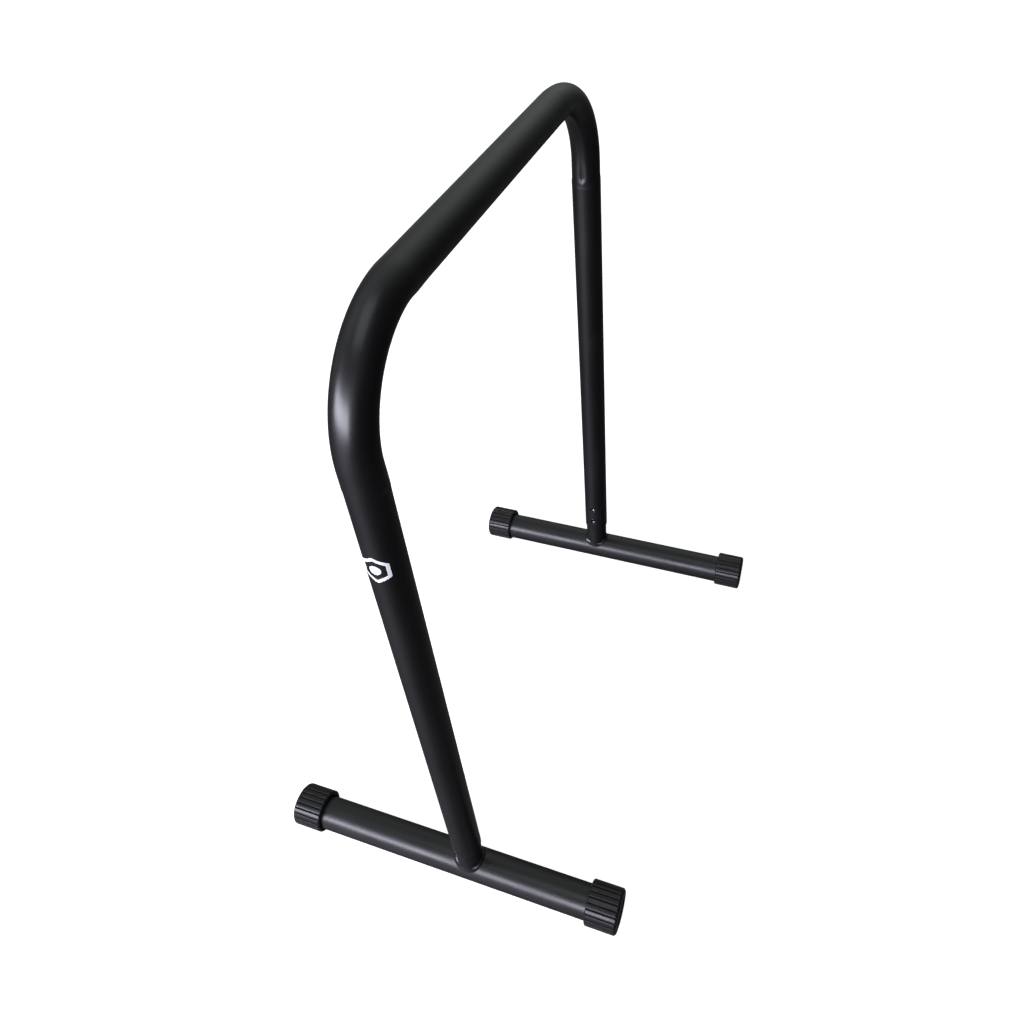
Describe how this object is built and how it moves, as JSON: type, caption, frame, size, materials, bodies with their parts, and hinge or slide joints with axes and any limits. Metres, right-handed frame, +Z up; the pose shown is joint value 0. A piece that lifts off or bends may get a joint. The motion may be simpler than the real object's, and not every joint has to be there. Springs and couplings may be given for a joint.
{
  "type": "kip bar",
  "caption": "Free-standing bar: a bent tube with two upright legs on T feet with ribbed eccentric levelling caps.",
  "frame": {"origin": "on the floor under the middle of the bar", "axes": "+X along the bar to the right leg, +Y along the feet to the back, +Z up"},
  "size_m": [0.653, 0.526, 0.876],
  "materials": {
    "frame_coat": "satin black powder coat",
    "foot_coat": "satin black powder coat",
    "weld_coat": "black powder coat over a weld, a little glossier",
    "cap_rubber": "smooth moulded black",
    "mark_print": "white screen print",
    "screw_steel": "zinc plated",
    "nut_steel": "plain steel"
  },
  "bodies": {
    "frame": {"u_frame": "frame_coat", "side_mark": "mark_print", "left_foot_tube": "foot_coat", "left_spigot": "foot_coat", "left_weld_bead": "weld_coat", "left_upper_nut": "nut_steel", "left_lower_nut": "nut_steel", "left_upper_set_screw": "screw_steel", "left_lower_set_screw": "screw_steel", "right_foot_tube": "foot_coat", "right_spigot": "foot_coat", "right_weld_bead": "weld_coat", "right_upper_nut": "nut_steel", "right_lower_nut": "nut_steel", "right_upper_set_screw": "screw_steel", "right_lower_set_screw": "screw_steel"},
    "left_front_cap": {"left_front_cap": "cap_rubber"},
    "left_back_cap": {"left_back_cap": "cap_rubber"},
    "right_front_cap": {"right_front_cap": "cap_rubber"},
    "right_back_cap": {"right_back_cap": "cap_rubber"}
  },
  "joints": [
    {"name": "left_front_cap_turn", "type": "hinge", "parent": "frame", "child": "left_front_cap", "pos_m": [-0.2985, -0.186, 0.0255], "axis": [0, 1, 0], "continuous": true},
    {"name": "left_back_cap_turn", "type": "hinge", "parent": "frame", "child": "left_back_cap", "pos_m": [-0.2985, 0.242, 0.0255], "axis": [0, 1, 0], "continuous": true},
    {"name": "right_front_cap_turn", "type": "hinge", "parent": "frame", "child": "right_front_cap", "pos_m": [0.2985, -0.242, 0.0255], "axis": [0, 1, 0], "continuous": true},
    {"name": "right_back_cap_turn", "type": "hinge", "parent": "frame", "child": "right_back_cap", "pos_m": [0.2985, 0.186, 0.0255], "axis": [0, 1, 0], "continuous": true}
  ]
}
